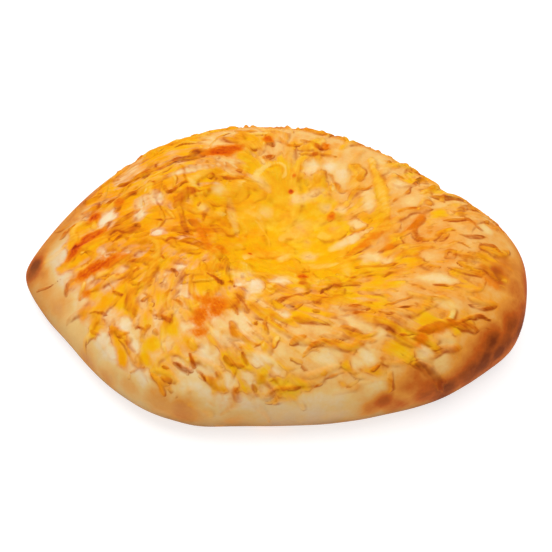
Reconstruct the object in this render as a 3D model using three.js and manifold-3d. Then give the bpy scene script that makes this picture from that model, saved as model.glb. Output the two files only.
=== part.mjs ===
// A boat-shaped flatbread with grated cheese baked on top.
// A loaf of soft dough with a puffed rim, a pointed tip at -X, a blunt end at +X and a sunken
// middle. A sheet of melted cheese lines the sunken middle and climbs the rim, and shreds of
// cheese lie baked on the sheet and on the bare dough round it.
// Millimetres, +Z up. The origin is under the middle of the loaf, on the surface it rests on.

import * as THREE from "three";
import Module from "manifold-3d";

// Driving dimensions
const LENGTH = 200; // tip to blunt end
const RIM_HEIGHT = 42.5; // of the loaf before the middle sinks
const FOOT_INSET = 9; // how far the flat base lies inside the widest line of the wall
const DIP_DEPTH = 20; // the sunken middle
const DIP_CENTRE = new THREE.Vector2(2, 10);
const DIP_RADIUS = { left: 27, right: 46, far: 33, near: 35 }; // out to half its depth
const DIP_FLATNESS = 2.4; // over 2 gives a flat floor and steeper sides
const TIP_POINT = 9.7; // how far the tip is drawn out into a point
const TIP_BEARING = 3.185; // where the tip is, in radians from +X
const TIP_SPREAD = 0.25; // angle either side of the tip over which the point fades, in radians
const TIP_ROUND = 0.06; // angle over which its end is rounded, in radians
const CORNER_POINT = 3; // how far the near corner of the blunt end is drawn out
const CORNER_BEARING = -0.33; // where that corner is, in radians from +X
const CORNER_SPREAD = 0.15; // angle either side of it over which it fades, in radians
const RIM_BLEND = 1.5; // higher keeps the level middle further out, before the rim's own height
const LUMP_SIZE = 24; // spacing of the soft swellings in the dough
const LUMP_HEIGHT = 2.6;

// Twelve clock positions round the loaf, from three o'clock (+X) counter-clockwise, seen from above
const REACH = [1, 0.805, 0.76, 0.755, 0.78, 0.853, 0.907, 0.843, 0.817, 0.738, 0.786, 0.938]; // of LENGTH / 2
const RIM_TOP = [0.98, 1, 1.03, 1.04, 1, 0.87, 0.64, 0.85, 0.98, 1, 1, 1]; // of RIM_HEIGHT
const WALL_MIDDLE = [0.41, 0.37, 0.32, 0.32, 0.32, 0.27, 0.2, 0.27, 0.32, 0.32, 0.34, 0.39]; // likewise
const SHOULDER = [5, 4, 3.2, 3, 3, 2.4, 2, 2.4, 3, 3.2, 3.6, 4.6]; // higher is a squarer shoulder
const CHEESE_EDGE = [0.945, 0.98, 0.99, 0.99, 0.98, 0.96, 0.88, 0.88, 0.91, 0.94, 0.95, 0.945]; // of REACH
const SHRED_TURN = [4, 18, 12, 8, 68, 74, 14, 24, 46, 62, 58, 30]; // degrees off the line to the dip
const SHEET_REACH = [47, 42, 36, 34, 40, 54, 64, 56, 48, 44, 46, 50]; // mm from the middle of the dip

// The melted sheet
const SHEET_PROUD = 1.1; // its surface above the dough beside it
const SHEET_SUNK = 1.5; // its underside below the dough beside it
const SHEET_EDGE_WAVE = 3.4; // lobes of its edge
const SHEET_EDGE_LOBES = [5, 11]; // how many lobes go round, large and small
const SHEET_GAP = 0.3; // clear of the dough all round

// The shreds
const SHRED_COUNT = 84;
const SHRED_LENGTH = [14, 26];
const SHRED_WIDTH = [3.4, 5.2];
const SHRED_RISE = 1.4; // above what it lies on
const SHRED_SUNK = 0.9; // below it
const SHRED_STEPS = 3; // pieces along a shred
const SHRED_CURL = 0.055; // most that a shred bends, in radians for each millimetre
const SHRED_SWING = 70; // degrees that shreds lie astray from SHRED_TURN, in all
const SHRED_TOP_SHARE = 0.62; // width of a shred's top against its foot
const SHRED_END_SHARE = 0.6; // width of its ends against its middle

// Faces of the solids
const SECTORS = 60;
const TOP_RINGS = 16;
const UNDER_RINGS = 5;
const SHEET_SECTORS = 48;
const SHEET_RINGS = 7;
const RING_GRADING = 1.5; // over 1 draws the rings together towards the wall
const CLEAR_HEIGHT = 80; // above the whole loaf

const DOUGH_COLOUR = 0xdba866;
const CHEESE_COLOUR = 0xf3b02c;
const GOLDEN_ANGLE = Math.PI * (3 - Math.sqrt(5));
const DRAW = { swing: 1, curl: 2, swelling: 3, length: 4, width: 5 }; // which draw a number is for

const wasm = await Module();
wasm.setup();

const fraction = (x) => x - Math.floor(x);
const lerp = THREE.MathUtils.lerp;

// An even scatter of numbers from 0 to 1, the same on every run.
const scatter = (i, draw) => fraction(Math.sin(i * 12.9898 + draw * 78.233) * 43758.5453);

// A value at a bearing, from a smooth closed curve through a table of the twelve clock positions.
function clock(table, bearing) {
  const hours = table.length;
  const at = fraction(bearing / (2 * Math.PI)) * hours;
  const hour = Math.floor(at);
  const f = at - hour;
  const [a, b, c, d] = [-1, 0, 1, 2].map((step) => table[(hour + step + hours) % hours]);
  return b + 0.5 * f * (c - a + f * (2 * a - 5 * b + 4 * c - d + f * (3 * (b - c) + d - a)));
}

// The angle between two bearings, at most half a turn.
const apart = (a, b) => 2 * Math.PI * Math.abs(fraction((a - b) / (2 * Math.PI) + 0.5) - 0.5);

// Distance from the middle to the widest line of the wall.
function reach(bearing) {
  const pastTip = Math.hypot(apart(bearing, TIP_BEARING), TIP_ROUND) - TIP_ROUND;
  const tip = TIP_POINT * Math.exp(-pastTip / TIP_SPREAD);
  const corner = CORNER_POINT * Math.exp(-((apart(bearing, CORNER_BEARING) / CORNER_SPREAD) ** 2));
  return (clock(REACH, bearing) * LENGTH) / 2 + tip + corner;
}

// Soft swellings, from -0.5 to 0.5.
function swelling(x, y) {
  const [gx, gy] = [x / LUMP_SIZE, y / LUMP_SIZE];
  const [i, j] = [Math.floor(gx), Math.floor(gy)];
  const [u, v] = [gx - i, gy - j].map((t) => t * t * (3 - 2 * t));
  const corner = (a, b) => scatter(i + a + 57 * (j + b), DRAW.swelling) - 0.5;
  return lerp(lerp(corner(0, 0), corner(1, 0), u), lerp(corner(0, 1), corner(1, 1), u), v);
}

function dip(x, y) {
  const dx = x - DIP_CENTRE.x;
  const dy = y - DIP_CENTRE.y;
  const away = Math.hypot(
    dx / (dx < 0 ? DIP_RADIUS.left : DIP_RADIUS.right),
    dy / (dy < 0 ? DIP_RADIUS.near : DIP_RADIUS.far),
  );
  return DIP_DEPTH * 2 ** -(away ** DIP_FLATNESS);
}

// Height of the dough's upper surface.
function doughHeight(x, y) {
  const bearing = Math.atan2(y, x);
  const share = Math.min(1, Math.hypot(x, y) / reach(bearing));
  const middle = clock(WALL_MIDDLE, bearing) * RIM_HEIGHT;
  const top = lerp(1, clock(RIM_TOP, bearing), share ** RIM_BLEND) * RIM_HEIGHT;
  const dome = middle + (top - middle) * Math.sqrt(1 - share ** clock(SHOULDER, bearing));
  return dome - dip(x, y) + LUMP_HEIGHT * swelling(x, y) * (1 - share ** 4);
}

// Distance from the middle of the dip to the melted sheet's lobed edge.
function sheetReach(bearing) {
  const [large, small] = SHEET_EDGE_LOBES;
  const wave = Math.sin(large * bearing + 1) + 0.6 * Math.sin(small * bearing + 2);
  return clock(SHEET_REACH, bearing) + SHEET_EDGE_WAVE * wave;
}

// How far the melted sheet lifts what lies at a point: nothing outside its edge.
function sheetLift(x, y) {
  const [dx, dy] = [x - DIP_CENTRE.x, y - DIP_CENTRE.y];
  const inside = sheetReach(Math.atan2(dy, dx)) - Math.hypot(dx, dy);
  return SHEET_PROUD * THREE.MathUtils.smoothstep(inside, 0, SHEET_PROUD);
}

// A closed geometry from rings of points, each running counter-clockwise seen from above. A ring
// of one point is a pole.
function ringedGeometry(rings) {
  const firsts = [];
  const positions = [];
  for (const ring of rings) {
    firsts.push(positions.length / 3);
    for (const point of ring) positions.push(point.x, point.y, point.z);
  }
  const faces = [];
  for (let r = 0; r + 1 < rings.length; r++) {
    const [inner, outer] = [rings[r].length, rings[r + 1].length];
    const count = Math.max(inner, outer);
    for (let s = 0; s < count; s++) {
      const next = (s + 1) % count;
      const [a, b] = [s, next].map((k) => firsts[r] + (inner > 1 ? k : 0));
      const [c, d] = [s, next].map((k) => firsts[r + 1] + (outer > 1 ? k : 0));
      if (outer > 1) faces.push(a, c, d);
      if (inner > 1) faces.push(a, d, b);
    }
  }
  return new THREE.BufferGeometry()
    .setAttribute("position", new THREE.Float32BufferAttribute(positions, 3))
    .setIndex(faces);
}

function solidOf(geometry) {
  return new wasm.Manifold(
    new wasm.Mesh({
      numProp: 3,
      vertProperties: new Float32Array(geometry.getAttribute("position").array),
      triVerts: new Uint32Array(geometry.getIndex().array),
    }),
  );
}

function geometryOf(solid) {
  const mesh = solid.getMesh();
  return new THREE.BufferGeometry()
    .setAttribute("position", new THREE.BufferAttribute(mesh.vertProperties, mesh.numProp))
    .setIndex(new THREE.BufferAttribute(mesh.triVerts, 1));
}

// The loaf: its upper surface out to the widest line of the wall, then in under it to the flat base.
function loafSolid() {
  const bearings = Array.from({ length: SECTORS }, (_, s) => (2 * Math.PI * s) / SECTORS);
  const pole = (z) => [new THREE.Vector3(0, 0, z)];
  const rings = [pole(doughHeight(0, 0))];
  for (let r = 1; r <= TOP_RINGS; r++) {
    const share = 1 - (1 - r / TOP_RINGS) ** RING_GRADING;
    rings.push(
      bearings.map((bearing) => {
        const x = share * reach(bearing) * Math.cos(bearing);
        const y = share * reach(bearing) * Math.sin(bearing);
        return new THREE.Vector3(x, y, doughHeight(x, y));
      }),
    );
  }
  for (let r = 1; r <= UNDER_RINGS; r++) {
    const turn = ((Math.PI / 2) * r) / UNDER_RINGS;
    rings.push(
      bearings.map((bearing) => {
        const out = reach(bearing) - FOOT_INSET * (1 - Math.cos(turn));
        const z = clock(WALL_MIDDLE, bearing) * RIM_HEIGHT * (1 - Math.sin(turn));
        return new THREE.Vector3(out * Math.cos(bearing), out * Math.sin(bearing), z);
      }),
    );
  }
  rings.push(pole(0));
  return solidOf(ringedGeometry(rings));
}

const overDough = (rise) => (x, y) => doughHeight(x, y) + rise;
const overAll = () => CLEAR_HEIGHT;

// A slab with the melted sheet's outline, between the heights that two functions of x and y give.
function sheetSlab(outset, floor, roof) {
  const bearings = Array.from({ length: SHEET_SECTORS }, (_, s) => (2 * Math.PI * s) / SHEET_SECTORS);
  const { x: cx, y: cy } = DIP_CENTRE;
  const ringAt = (share, height) =>
    bearings.map((bearing) => {
      const out = share * (sheetReach(bearing) + outset);
      const [x, y] = [cx + out * Math.cos(bearing), cy + out * Math.sin(bearing)];
      return new THREE.Vector3(x, y, height(x, y));
    });
  const shares = Array.from({ length: SHEET_RINGS }, (_, r) => (r + 1) / SHEET_RINGS);
  return solidOf(
    ringedGeometry([
      [new THREE.Vector3(cx, cy, roof(cx, cy))],
      ...shares.map((share) => ringAt(share, roof)),
      ...shares.toReversed().map((share) => ringAt(share, floor)),
      [new THREE.Vector3(cx, cy, floor(cx, cy))],
    ]),
  );
}

// Where shred i lies: its middle on a spiral that spreads the shreds evenly out to the edge of the
// cheese, its heading by the clock, and its bend.
function shredPath(i) {
  const bearing = i * GOLDEN_ANGLE;
  const length = lerp(...SHRED_LENGTH, scatter(i, DRAW.length));
  const degrees = clock(SHRED_TURN, bearing) + SHRED_SWING * (scatter(i, DRAW.swing) - 0.5);
  const astray = THREE.MathUtils.degToRad(degrees);
  const furthest = clock(CHEESE_EDGE, bearing) * reach(bearing) - (length / 2) * Math.abs(Math.cos(astray));
  const out = Math.sqrt((i + 0.5) / SHRED_COUNT) * furthest;
  const middle = new THREE.Vector2(out * Math.cos(bearing), out * Math.sin(bearing));
  const heading = Math.atan2(middle.y - DIP_CENTRE.y, middle.x - DIP_CENTRE.x) + astray;
  const curl = SHRED_CURL * 2 * (scatter(i, DRAW.curl) - 0.5);
  return Array.from({ length: SHRED_STEPS + 1 }, (_, s) => {
    const along = length * (s / SHRED_STEPS - 0.5);
    const turn = heading + (curl * along) / 2;
    return new THREE.Vector2(middle.x + along * Math.cos(turn), middle.y + along * Math.sin(turn));
  });
}

// A strip that follows the surface under its path, wider at its foot than at its top.
function shredSolid(i) {
  const path = shredPath(i);
  const width = lerp(...SHRED_WIDTH, scatter(i, DRAW.width));
  const ring = path.map((point, s) => {
    const [before, after] = [path[Math.max(0, s - 1)], path[Math.min(SHRED_STEPS, s + 1)]];
    const side = after.clone().sub(before).normalize().rotateAround(new THREE.Vector2(), Math.PI / 2);
    const taper = s === 0 || s === SHRED_STEPS ? SHRED_END_SHARE : 1;
    const corner = (across, up) => {
      const at = point.clone().addScaledVector(side, (across * width * taper) / 2);
      return new THREE.Vector3(at.x, at.y, doughHeight(at.x, at.y) + sheetLift(at.x, at.y) + up);
    };
    return [
      corner(1, -SHRED_SUNK),
      corner(-1, -SHRED_SUNK),
      corner(-SHRED_TOP_SHARE, SHRED_RISE * taper),
      corner(SHRED_TOP_SHARE, SHRED_RISE * taper),
    ];
  });
  const middleOf = (points) => points.reduce((sum, p) => sum.add(p), new THREE.Vector3()).divideScalar(4);
  return solidOf(ringedGeometry([[middleOf(ring[0])], ...ring, [middleOf(ring.at(-1))]]));
}

function allShreds() {
  const shreds = Array.from({ length: SHRED_COUNT }, (_, i) => shredSolid(i));
  return shreds.reduce((sum, shred) => sum.add(shred));
}

const largest = (solid) => solid.decompose().reduce((a, b) => (b.volume() > a.volume() ? b : a));

function bakedMesh(name, solid, colour, roughness) {
  const material = new THREE.MeshStandardMaterial({ color: colour, roughness, metalness: 0 });
  const mesh = new THREE.Mesh(geometryOf(largest(solid)), material);
  mesh.name = name;
  return mesh;
}

const shreds = allShreds();
const recess = sheetSlab(SHEET_GAP, overDough(-SHEET_SUNK - SHEET_GAP), overAll);
const column = sheetSlab(0, overDough(-SHEET_SUNK), overAll);
const sheet = sheetSlab(0, overDough(-SHEET_SUNK), overDough(SHEET_PROUD));

const bread = new THREE.Group();
bread.add(
  bakedMesh("dough", loafSolid().add(shreds).subtract(recess), DOUGH_COLOUR, 0.75),
  bakedMesh("melted_cheese", sheet.add(shreds.intersect(column)), CHEESE_COLOUR, 0.4),
);

export default bread;
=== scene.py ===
import math
from collections import namedtuple

import bpy
import numpy as np
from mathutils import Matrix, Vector
from mathutils.bvhtree import BVHTree


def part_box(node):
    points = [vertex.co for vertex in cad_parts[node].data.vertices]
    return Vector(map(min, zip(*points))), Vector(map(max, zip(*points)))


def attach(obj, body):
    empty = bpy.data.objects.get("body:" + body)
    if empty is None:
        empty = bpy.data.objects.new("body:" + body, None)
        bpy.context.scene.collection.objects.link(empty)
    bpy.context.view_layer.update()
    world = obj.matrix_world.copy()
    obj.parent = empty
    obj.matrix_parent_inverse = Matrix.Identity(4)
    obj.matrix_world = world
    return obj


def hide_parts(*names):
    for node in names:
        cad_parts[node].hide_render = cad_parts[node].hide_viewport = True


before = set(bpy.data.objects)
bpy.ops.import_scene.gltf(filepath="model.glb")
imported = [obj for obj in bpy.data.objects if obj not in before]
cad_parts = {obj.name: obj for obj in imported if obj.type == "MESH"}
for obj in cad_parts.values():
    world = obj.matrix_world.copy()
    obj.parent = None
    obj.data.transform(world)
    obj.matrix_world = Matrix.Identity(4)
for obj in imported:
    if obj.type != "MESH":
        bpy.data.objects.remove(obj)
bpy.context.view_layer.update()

# The loaf's sizes in millimetres, as its solids have them
LENGTH = 200
RIM_HEIGHT = 42.5
FOOT_INSET = 9
DIP_DEPTH = 20
DIP_CENTRE = (2, 10)
DIP_RADIUS = {"left": 27, "right": 46, "far": 33, "near": 35}
DIP_FLATNESS = 2.4
TIP_POINT = 9.7
TIP_BEARING = 3.185
TIP_SPREAD = 0.25
TIP_ROUND = 0.06
CORNER_POINT = 3
CORNER_BEARING = -0.33
CORNER_SPREAD = 0.15
RIM_BLEND = 1.5
LUMP_SIZE = 24
LUMP_HEIGHT = 2.6
LUMP_FADE = 4
SHEET_PROUD = 1.1
SHEET_SUNK = 1.5
SHEET_EDGE_WAVE = 3.4
SHEET_EDGE_LOBES = (5, 11)
SHEET_EDGE_STARTS = (1, 2)
SMALL_LOBE_SHARE = 0.6

TURN = 2 * math.pi
GOLDEN_ANGLE = math.pi * (3 - math.sqrt(5))
TINY = 1e-9

# Twelve clock positions round the loaf, from three o'clock (+X) counter-clockwise, seen from above
REACH = [1, 0.805, 0.76, 0.755, 0.78, 0.853, 0.907, 0.843, 0.817, 0.738, 0.786, 0.938]
RIM_TOP = [0.98, 1, 1.03, 1.04, 1, 0.87, 0.64, 0.85, 0.98, 1, 1, 1]
WALL_MIDDLE = [0.41, 0.37, 0.32, 0.32, 0.32, 0.27, 0.2, 0.27, 0.32, 0.32, 0.34, 0.39]
SHOULDER = [5, 4, 3.2, 3, 3, 2.4, 2, 2.4, 3, 3.2, 3.6, 4.6]
SHEET_REACH = [47, 42, 36, 34, 40, 54, 64, 56, 48, 44, 46, 50]
SHRED_EDGE = [0.945, 0.98, 0.99, 0.99, 0.98, 0.96, 0.88, 0.88, 0.91, 0.94, 0.95, 0.945]
SHRED_TURN = [4, 18, 12, 8, 68, 74, 14, 24, 46, 62, 58, 30]
CHEESE_EDGE = [0.945, 0.965, 0.96, 0.96, 0.96, 0.95, 0.89, 0.955, 0.992, 0.996, 0.975, 0.94]
CHEESE_COVER = [0.12, 0.1, 0.16, 0.32, 0.55, 0.68, 0.72, 0.74, 0.56, 0.5, 0.5, 0.28]
SHRED_STRAY = [55, 60, 90, 100, 80, 110, 170, 180, 150, 110, 80, 60]
CHEESE_ORANGE = [0.28, 0.18, 0.1, 0.18, 0.38, 0.5, 0.58, 0.42, 0.28, 0.2, 0.26, 0.32]
WALL_BROWN = [0.74, 0.7, 0.62, 0.6, 0.55, 0.48, 0.58, 0.34, 0.3, 0.04, 0.34, 0.7]
WALL_PALE = [0, 0, 0, 0, 0, 0, 0, 0.5, 0.4, 0.1, 0, 0]
WALL_START = [0.92, 0.88, 0.83, 0.83, 0.83, 0.84, 0.86, 0.92, 0.95, 0.96, 0.94, 0.92]
TOP_BROWN = [0.4, 0.34, 0.33, 0.27, 0.24, 0.22, 0.16, 0.16, 0.18, 0.24, 0.34, 0.42]
SHRED_BROWN = [1.1, 1.05, 0.95, 0.9, 0.95, 0.95, 0.85, 0.75, 0.7, 0.8, 0.9, 1.0]

# The long shreds, laid where the solids have them
LONG_SHREDS = 84
LONG_LENGTH = (14, 26)
LONG_WIDTH = (3.4, 5.2)
SHRED_CURL = 0.055
SHRED_SWING = 70
LONG_RISE = 0.75
LONG_WIDTH_LEFT = 0.85
LONG_TONE = 0.6
LONG_SOLID = 0.6

# What is strewn between them: how many of each kind, the number of the first, and their sizes
Strewing = namedtuple("Strewing", "count first lengths widths rise astray")
FLECKS = Strewing(count=160, first=1000, lengths=(2, 5), widths=(1.2, 2.8), rise=0.25, astray=2)
SHORT_SHREDS = Strewing(count=370, first=100, lengths=(9, 28), widths=(2.0, 4.4), rise=0.45, astray=1)
THREADS = Strewing(count=90, first=2000, lengths=(7, 20), widths=(0.8, 1.3), rise=0.3, astray=1.5)

# Crumbs of crisp cheese along the far edge
EDGE_CRUMBS = 38
EDGE_CRUMB_BEARINGS = (4, 125)
EDGE_CRUMB_SHARES = (0.86, 0.955)
EDGE_CRUMB_LENGTH = (2, 6)
EDGE_CRUMB_WIDTH = (1.8, 3.6)
EDGE_CRUMB_RISE = (0.4, 1.5)
EDGE_CRUMB_TONE = (0.1, 0.75)
EDGE_CRUMB_SOLID = 0.4
EDGE_CRUMB_FIRST = 3000

# The camera, placed as the photograph was taken
IMAGE_SIZE = 552
CAMERA_AZIMUTH = 3
CAMERA_ELEVATION = 48
CAMERA_DISTANCE = 613
CAMERA_AIM = (1.2, -4.3, 14.3)
CAMERA_LENS = 100
SENSOR_WIDTH = 36
NEAREST_SEEN = 10

# Shreds that stand out in the photograph: the pixels they pass through, width in millimetres, browning
SEEN_SHREDS = [
    ([(371, 157), (380, 185), (388, 215)], 4.5, 0.3), ([(350, 190), (362, 188), (373, 184)], 1.4, 0.8),
    ([(350, 170), (356, 165), (363, 170), (361, 178), (353, 178)], 2.5, 0.5),
    ([(396, 174), (403, 180)], 1.4, 0.8), ([(392, 203), (403, 196), (413, 187)], 1.6, 0.65),
    ([(396, 213), (408, 210), (420, 208)], 1.8, 0.7), ([(350, 237), (360, 229), (374, 223)], 1.5, 0.8),
    ([(345, 258), (366, 243), (391, 226)], 3.4, 0.75),
    ([(378, 252), (390, 248), (401, 243)], 3.2, 0.85),
    ([(350, 268), (376, 267), (400, 263)], 2.2, 0.75), ([(405, 232), (416, 225), (424, 213)], 3.2, 0.8),
    ([(425, 198), (430, 207)], 4.0, 0.6), ([(430, 183), (446, 190), (461, 198)], 2.2, 0.8),
    ([(441, 221), (464, 219), (476, 228)], 2.2, 0.75), ([(440, 230), (458, 232)], 1.6, 0.7),
    ([(455, 236), (474, 236), (492, 239)], 2.0, 0.9), ([(450, 243), (472, 247)], 1.4, 0.7),
    ([(443, 258), (446, 250), (454, 252), (455, 259)], 2.2, 0.7),
    ([(458, 262), (468, 268), (484, 271)], 2.2, 0.6), ([(466, 267), (488, 268), (500, 282)], 2.4, 0.75),
    ([(422, 265), (441, 267)], 3.0, 0.45), ([(480, 243), (494, 247), (505, 256)], 2.0, 0.8),
    ([(495, 225), (507, 238)], 2.6, 0.7), ([(508, 244), (519, 252)], 3.4, 0.4),
    ([(474, 226), (486, 233)], 1.6, 0.7), ([(280, 301), (299, 296), (314, 291)], 2.2, 0.85),
    ([(285, 304), (296, 308)], 2.2, 0.9), ([(320, 296), (329, 289), (337, 286)], 1.7, 0.95),
    ([(336, 286), (350, 283), (363, 284)], 2.8, 0.75), ([(350, 278), (363, 275)], 1.4, 0.9),
    ([(383, 278), (392, 273), (402, 271)], 1.6, 0.8), ([(411, 286), (428, 288)], 2.0, 0.8),
    ([(431, 284), (451, 287)], 1.4, 0.75), ([(315, 304), (325, 300), (333, 299)], 1.8, 0.8),
    ([(350, 306), (364, 304)], 1.8, 0.65), ([(313, 310), (323, 311)], 2.0, 0.75),
    ([(340, 316), (360, 313), (376, 314)], 1.6, 0.65), ([(376, 314), (396, 315)], 1.8, 0.9),
    ([(384, 308), (400, 300), (416, 294)], 1.4, 0.7), ([(403, 307), (415, 305)], 1.7, 0.9),
    ([(372, 318), (385, 326), (398, 335)], 2.8, 0.8), ([(397, 334), (408, 334), (417, 331)], 1.5, 0.8),
    ([(418, 330), (440, 328), (460, 322)], 3.4, 0.8), ([(459, 322), (475, 318), (491, 318)], 2.2, 0.8),
    ([(411, 338), (422, 338), (431, 345)], 3.4, 0.85),
    ([(438, 353), (448, 349), (462, 349)], 3.2, 0.75),
    ([(340, 326), (355, 327), (371, 338)], 2.6, 0.55),
    ([(289, 346), (297, 339), (306, 336)], 3.8, 0.65), ([(303, 353), (320, 343), (345, 342)], 2.6, 0.7),
    ([(345, 342), (360, 346), (373, 353)], 1.6, 0.6), ([(301, 365), (311, 372)], 2.0, 0.65),
    ([(324, 380), (332, 376), (346, 374)], 1.5, 0.75), ([(288, 381), (303, 378)], 1.4, 0.85),
    ([(280, 388), (303, 388)], 2.6, 0.75), ([(310, 390), (321, 384)], 1.3, 0.7),
    ([(369, 371), (379, 364)], 2.0, 0.65), ([(392, 370), (391, 383), (390, 392)], 2.8, 0.55),
    ([(412, 363), (426, 368), (438, 378), (443, 391)], 3.0, 1.1),
    ([(431, 366), (440, 375), (447, 382)], 2.2, 1.0), ([(466, 304), (480, 310), (497, 306)], 1.8, 0.9),
    ([(88, 315), (98, 313), (108, 316)], 1.7, 0.85), ([(92, 328), (104, 334)], 1.8, 0.65),
    ([(117, 334), (130, 333)], 2.0, 0.6), ([(132, 333), (138, 329), (146, 333)], 2.2, 0.65),
    ([(152, 329), (159, 335)], 2.2, 0.75), ([(122, 341), (130, 346), (136, 352)], 2.0, 0.75),
    ([(130, 372), (146, 367)], 1.8, 0.6), ([(163, 366), (171, 370)], 2.0, 0.8),
    ([(174, 362), (184, 369), (195, 373)], 3.0, 0.85), ([(190, 353), (193, 362), (195, 372)], 2.4, 0.9),
    ([(196, 371), (206, 381)], 1.4, 0.95), ([(222, 356), (232, 363), (243, 369)], 3.0, 0.8),
    ([(242, 350), (244, 360), (247, 369)], 2.4, 0.9), ([(247, 368), (257, 377)], 1.4, 0.95),
    ([(232, 292), (240, 302), (250, 317)], 2.8, 0.85),
    ([(228, 322), (240, 335), (257, 345)], 3.2, 0.55),
    ([(257, 346), (265, 338), (267, 325), (270, 317)], 2.4, 0.65), ([(272, 319), (283, 329)], 2.0, 0.6),
    ([(265, 396), (278, 389), (291, 388)], 3.2, 0.7), ([(252, 383), (259, 397)], 1.8, 0.8),
    ([(236, 389), (242, 403)], 4.4, 0.75), ([(154, 376), (160, 386), (163, 396)], 3.0, 0.65),
    ([(160, 378), (172, 380)], 2.2, 0.75), ([(212, 373), (222, 379)], 2.6, 0.65),
    ([(140, 300), (152, 296)], 2.2, 0.6), ([(148, 310), (160, 316), (170, 322)], 2.2, 0.7),
    ([(112, 292), (124, 298)], 2.0, 0.75), ([(170, 162), (190, 155), (207, 151)], 2.8, 0.7),
    ([(140, 175), (160, 168), (181, 161)], 3.0, 0.65),
    ([(118, 186), (135, 178), (151, 170)], 3.4, 0.65), ([(60, 240), (68, 232), (79, 224)], 2.4, 0.65),
    ([(145, 186), (149, 182), (154, 186), (149, 190)], 1.4, 0.7),
    ([(160, 185), (168, 193), (176, 190), (181, 184), (191, 186)], 2.6, 0.7),
    ([(150, 197), (157, 203), (163, 211)], 1.5, 0.8),
    ([(176, 208), (184, 198), (193, 191), (201, 190)], 4.4, 0.65),
    ([(201, 188), (204, 196), (199, 206)], 1.5, 0.75),
    ([(210, 205), (204, 217), (200, 227)], 1.4, 0.85),
    ([(188, 219), (198, 226), (206, 238)], 3.2, 0.85), ([(132, 223), (141, 226)], 2.4, 0.8),
    ([(113, 242), (122, 236), (131, 239)], 2.0, 0.65), ([(166, 240), (181, 238)], 2.4, 0.75),
    ([(155, 246), (164, 259)], 1.5, 0.8), ([(168, 270), (179, 280)], 1.5, 0.8),
    ([(116, 278), (123, 276)], 1.8, 0.75), ([(127, 277), (135, 285), (150, 277)], 2.6, 0.6),
    ([(218, 224), (224, 236)], 2.6, 0.65), ([(222, 255), (226, 268), (229, 281)], 2.4, 0.95),
    ([(207, 271), (216, 279), (225, 284)], 2.4, 0.85), ([(229, 281), (241, 289), (253, 297)], 1.6, 0.9),
    ([(248, 156), (257, 150)], 1.8, 0.8), ([(262, 158), (271, 154)], 2.2, 0.7),
    ([(266, 135), (270, 140), (274, 147)], 2.6, 0.95), ([(208, 178), (216, 174)], 2.4, 0.8),
    ([(224, 178), (236, 178), (247, 175)], 2.4, 0.8), ([(235, 170), (244, 168)], 2.0, 0.75),
    ([(243, 186), (258, 186), (263, 194), (256, 203)], 2.4, 0.75),
    ([(298, 165), (306, 174), (319, 180)], 1.5, 0.75),
    ([(327, 174), (334, 178), (342, 190), (356, 188)], 1.4, 0.8),
    ([(300, 139), (321, 147), (329, 147)], 3.0, 0.8), ([(300, 155), (320, 153), (340, 155)], 2.4, 0.7),
    ([(296, 258), (299, 268), (303, 279)], 2.4, 0.85), ([(303, 263), (309, 272)], 1.4, 0.8),
    ([(36, 291), (48, 287), (62, 279)], 0.9, 1.0), ([(328, 223), (334, 211)], 2.2, 0.95),
    ([(205, 300), (212, 290)], 2.4, 0.6), ([(176, 300), (190, 310)], 2.2, 0.65),
]

# Spots seen in the photograph: pixel, radius in millimetres, strength
SCORCHED_SPOTS = [
    (95, 217, 3, 0.9), (120, 202, 2.5, 0.6), (222, 250, 4, 0.4), (302, 277, 2.2, 0.8),
    (331, 217, 2.2, 0.6), (268, 140, 2.5, 0.8), (326, 146, 2.5, 0.6), (87, 294, 2.2, 0.5),
    (390, 247, 2.5, 0.5), (422, 340, 3, 0.5), (291, 192, 1.2, 0.8), (294, 176, 1.2, 0.5),
    (250, 254, 1.2, 0.7),
]
SCORCHED_STREAKS = [
    ([(67, 262), (76, 249), (89, 237), (110, 228)], 3, 0.95),
    ([(78, 280), (96, 267), (124, 254)], 4, 0.85), ([(204, 154), (222, 151), (242, 147)], 3.4, 0.85),
    ([(188, 330), (200, 333), (208, 328)], 2.6, 0.5), ([(188, 212), (203, 234), (213, 256)], 4, 0.45),
    ([(345, 258), (366, 243), (391, 226)], 2.2, 0.45), ([(404, 233), (416, 225), (425, 212)], 3, 0.4),
    ([(420, 331), (440, 328), (459, 322)], 2.4, 0.4), ([(476, 273), (488, 280), (498, 288)], 3, 0.45),
    ([(224, 298), (217, 307), (211, 318)], 4.2, 0.6), ([(206, 305), (200, 317), (199, 331)], 3.8, 0.62),
    ([(192, 296), (205, 300), (222, 312)], 3, 0.5),
]
# Spots where the crust is darker: at the tip, and low on the near-right wall and along its edge
DARKER_CRUST_SPOTS = [
    (36, 266, 5.5, 0.8), (32, 275, 5, 0.7), (44, 271, 4, 0.4), (418, 373, 4, 0.6), (413, 384, 9, 0.7),
    (426, 391, 9, 0.8), (383, 402, 6, 1.2), (372, 408, 6, 0.9), (395, 405, 7, 0.9), (445, 391, 8, 0.9),
    (470, 374, 9, 0.6), (492, 338, 7, 0.7), (499, 352, 5, 0.8), (512, 318, 8, 0.6), (508, 266, 6, 0.5),
    (497, 275, 7, 0.9), (512, 285, 6, 0.5), (505, 345, 8, 0.5), (185, 413, 10, 0.9), (160, 403, 8, 0.8),
    (130, 388, 6, 0.6), (235, 422, 8, 0.5), (60, 305, 6, 0.5), (88, 358, 6, 0.6), (108, 376, 6, 0.6),
    (520, 330, 9, 0.6), (485, 362, 8, 0.6),
]
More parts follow.
